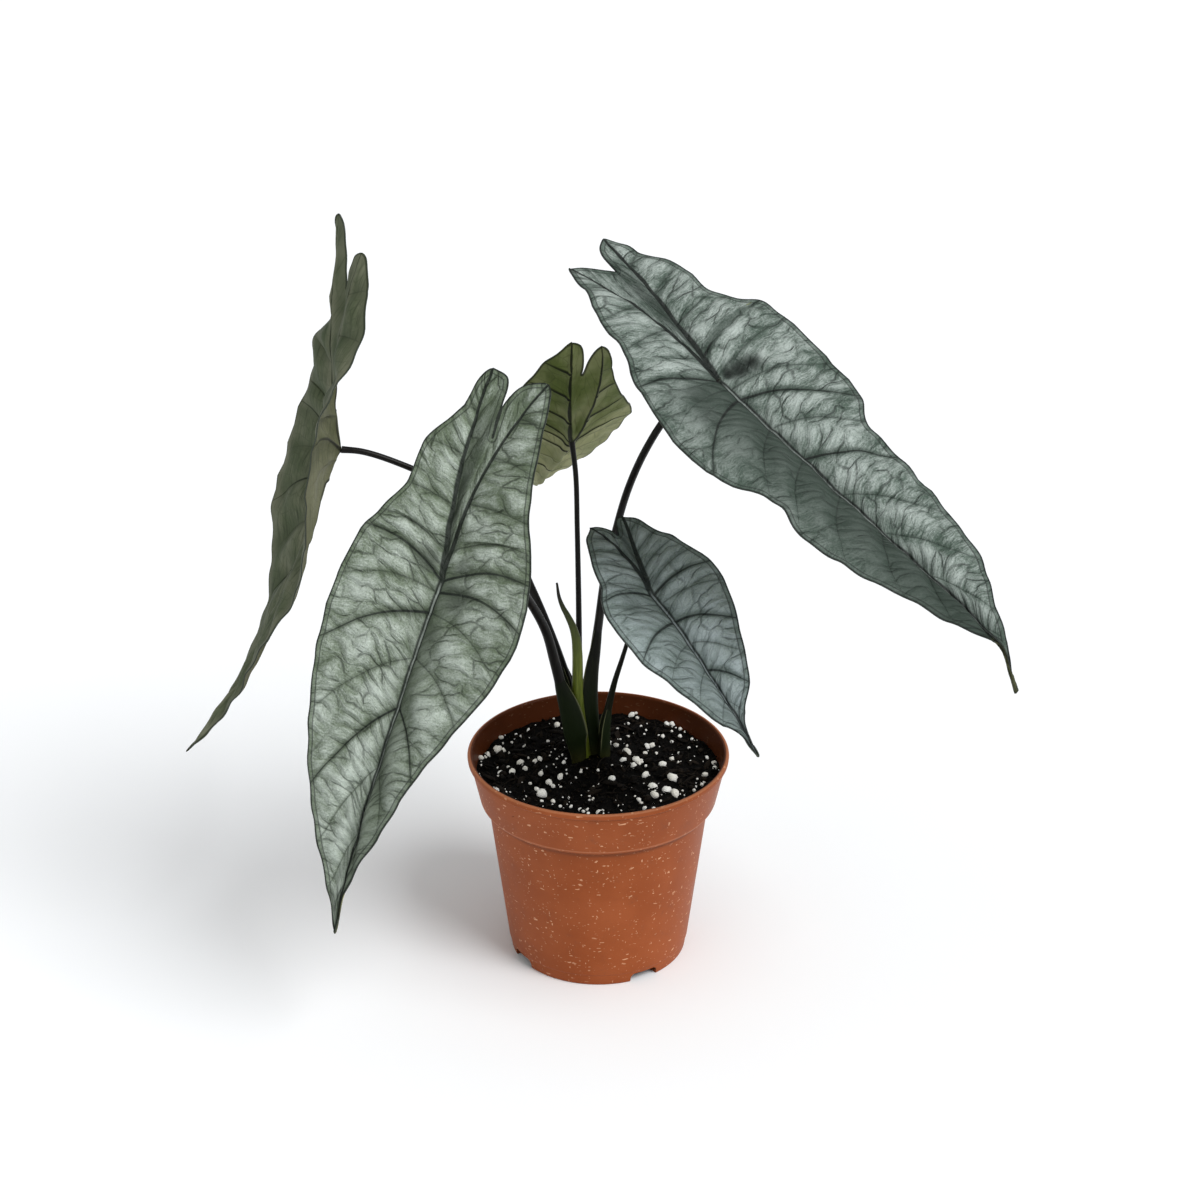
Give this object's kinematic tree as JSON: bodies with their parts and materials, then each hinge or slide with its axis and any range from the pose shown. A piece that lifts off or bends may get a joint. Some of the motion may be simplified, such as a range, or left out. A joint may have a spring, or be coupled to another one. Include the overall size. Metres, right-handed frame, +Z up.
{
  "type": "potted dragon's breath alocasia",
  "caption": "Potted alocasia with arrow-shaped, silver-green leaves on dark arching stalks, in a thin terracotta-coloured nursery pot.",
  "frame": {"origin": "on the pot's axis, at the flat underside of its base", "axes": "+Z up along the pot's axis, +X to the right and -Y towards the viewer of the plant's front"},
  "size_m": [0.3524, 0.2483, 0.3447],
  "materials": {
    "pot": "satin terracotta-coloured plastic with fine pale flecks",
    "potting_mix": "coarse dark bark and peat mix with white perlite",
    "corm": "rough, damp",
    "stalk_dark": "smooth, slightly glossy, purple-black with green near the foot",
    "stalk_green": "smooth, slightly glossy, dark green",
    "new_leaf": "smooth, yellow-green",
    "blade_sage": "waxy silver-sage with dark sunken veins, olive below",
    "blade_silver_green": "waxy silver-green with dark sunken veins, olive below",
    "blade_blue_grey": "waxy blue-grey with dark sunken veins, olive below",
    "blade_dark_olive": "waxy dark olive",
    "blade_olive": "waxy olive with dark veins below"
  },
  "bodies": {
    "root": {"pot": "pot", "potting_mix": "potting_mix", "corm": "corm", "stalk_front_left": "stalk_dark", "stalk_far_left": "stalk_dark", "stalk_right": "stalk_dark", "stalk_rear": "stalk_dark", "stalk_small_front": "stalk_green", "new_leaf_spear": "new_leaf", "blade_front_left": "blade_sage", "blade_right": "blade_silver_green", "blade_small_front": "blade_blue_grey", "blade_far_left": "blade_dark_olive", "blade_rear": "blade_olive"}
  },
  "joints": []
}
